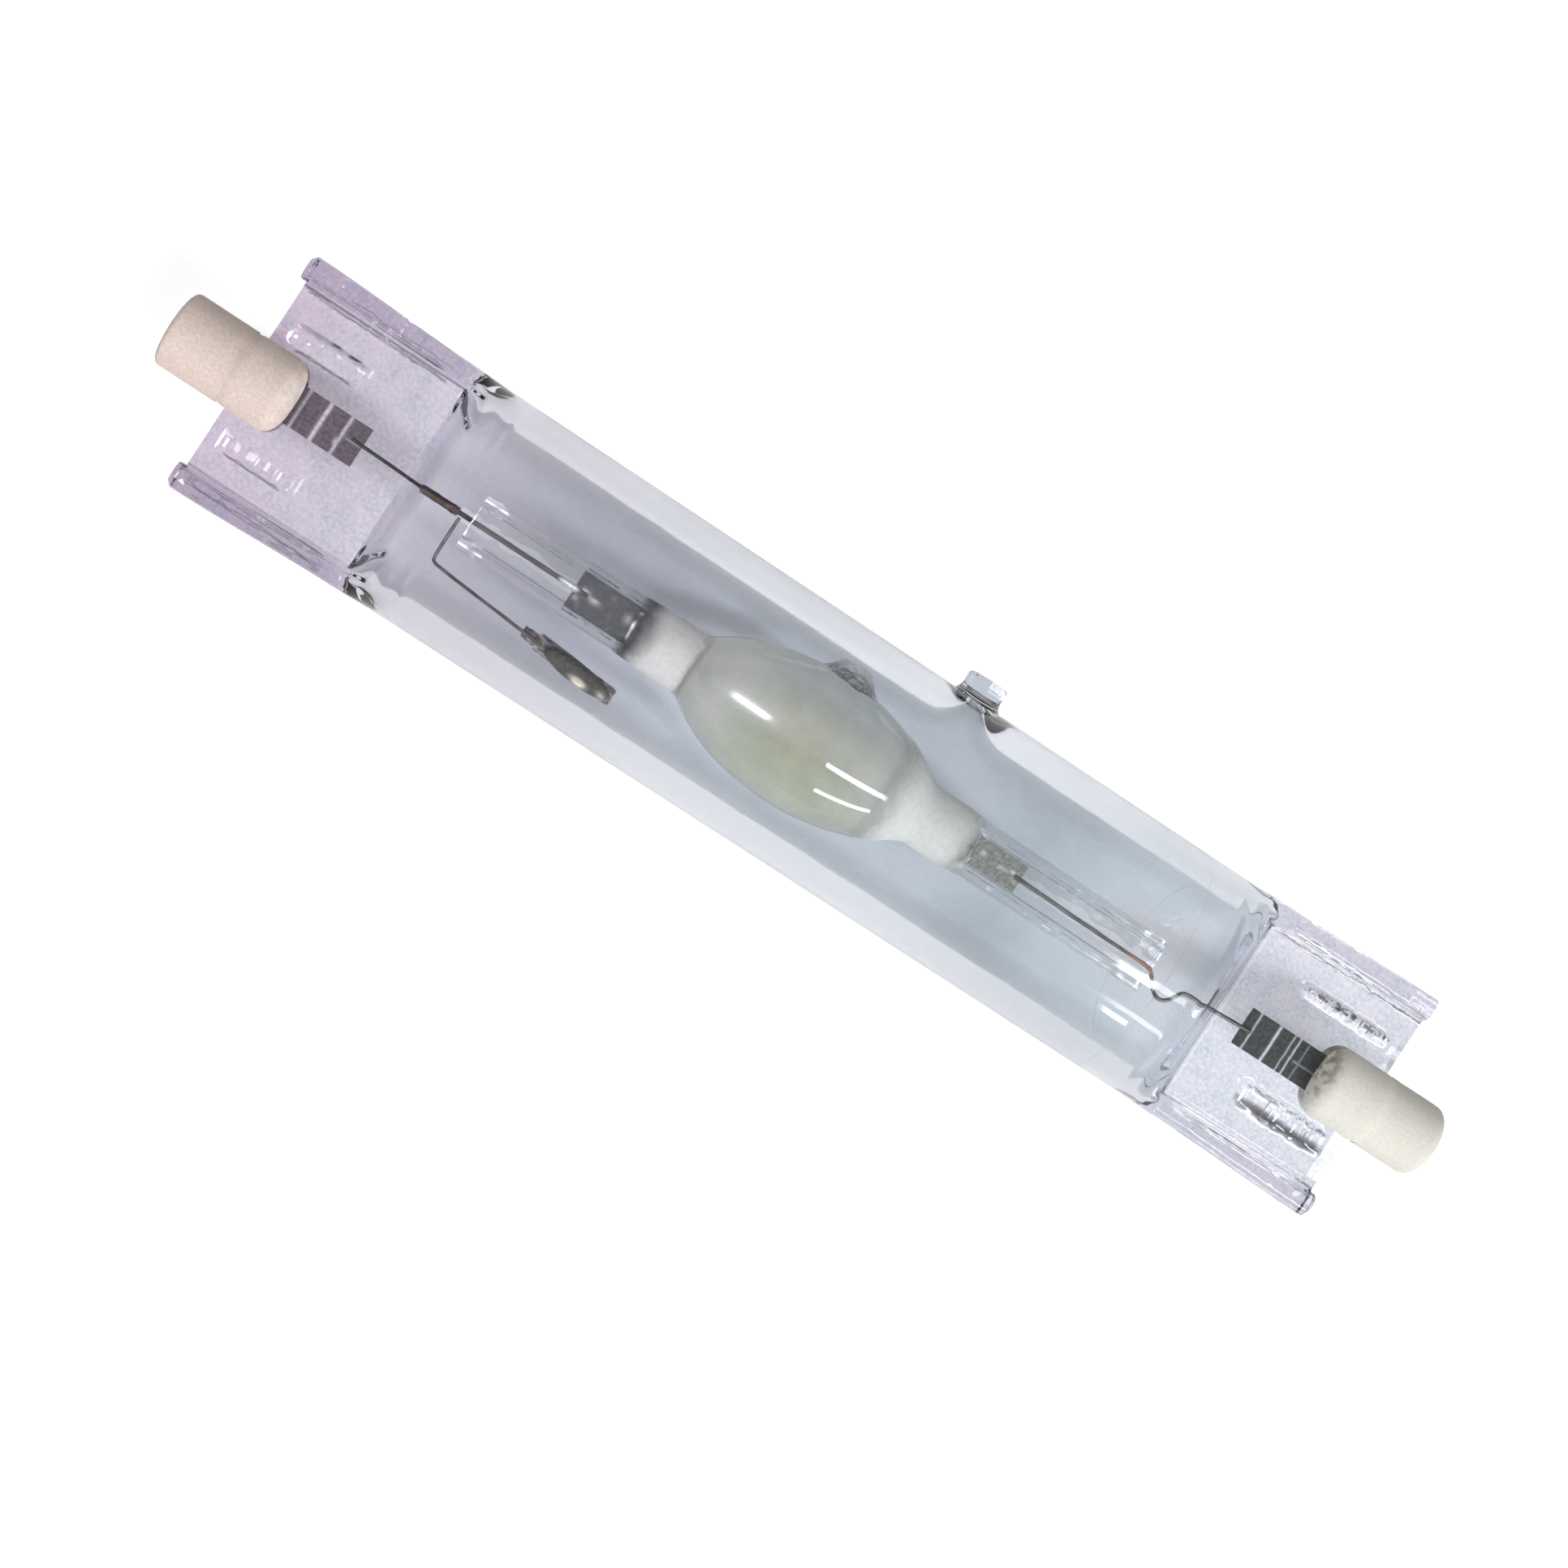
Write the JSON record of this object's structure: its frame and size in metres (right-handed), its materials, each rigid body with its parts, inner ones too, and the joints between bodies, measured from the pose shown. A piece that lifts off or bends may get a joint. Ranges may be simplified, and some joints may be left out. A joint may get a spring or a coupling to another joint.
{
  "type": "metal halide lamp",
  "caption": "Double-ended metal halide lamp: clear quartz tube with flat pinched ends, ceramic end caps with recessed contacts, and a milky arc tube, foils, leads and getter inside.",
  "frame": {"origin": "the lamp's centre on its axis, halfway between the two contact faces", "axes": "+X along the lamp towards the right cap, +Y towards the exhaust stub, +Z square to the flat pinches and up as the lamp lies"},
  "size_m": [0.138, 0.0259, 0.0232],
  "materials": {
    "quartz": "clear, faintly lavender",
    "burner_quartz": "milky",
    "left_ceramic": "matt, pinkish beige",
    "right_ceramic": "matt, cream",
    "cement": "matt",
    "contact_metal": "satin",
    "foil_metal": "dull dark grey",
    "wire_metal": "dull dark grey",
    "tungsten": "satin",
    "white_coat": "chalky white",
    "getter_metal": "satin",
    "getter_pellet": "sintered, dark",
    "halide_salt": "dry yellow-green crust",
    "mercury": "mirror bright"
  },
  "bodies": {
    "root": {"outer_envelope": "quartz", "arc_tube": "burner_quartz", "left_cap": "left_ceramic", "right_cap": "right_ceramic", "left_cap_cement": "cement", "right_cap_cement": "cement", "left_contact": "contact_metal", "right_contact": "contact_metal", "left_outer_foil": "foil_metal", "right_outer_foil": "foil_metal", "left_arc_foil": "foil_metal", "right_arc_foil": "foil_metal", "left_outer_lead": "wire_metal", "right_outer_lead": "wire_metal", "left_inner_lead": "wire_metal", "right_inner_lead": "wire_metal", "left_lead_sleeve": "wire_metal", "getter_wire": "wire_metal", "left_electrode_rod": "tungsten", "right_electrode_rod": "tungsten", "left_electrode_coil": "tungsten", "right_electrode_coil": "tungsten", "left_end_coating": "white_coat", "right_end_coating": "white_coat", "getter_strip": "getter_metal", "getter_pellet": "getter_pellet", "halide_deposit": "halide_salt", "mercury_bead": "mercury"}
  },
  "joints": []
}
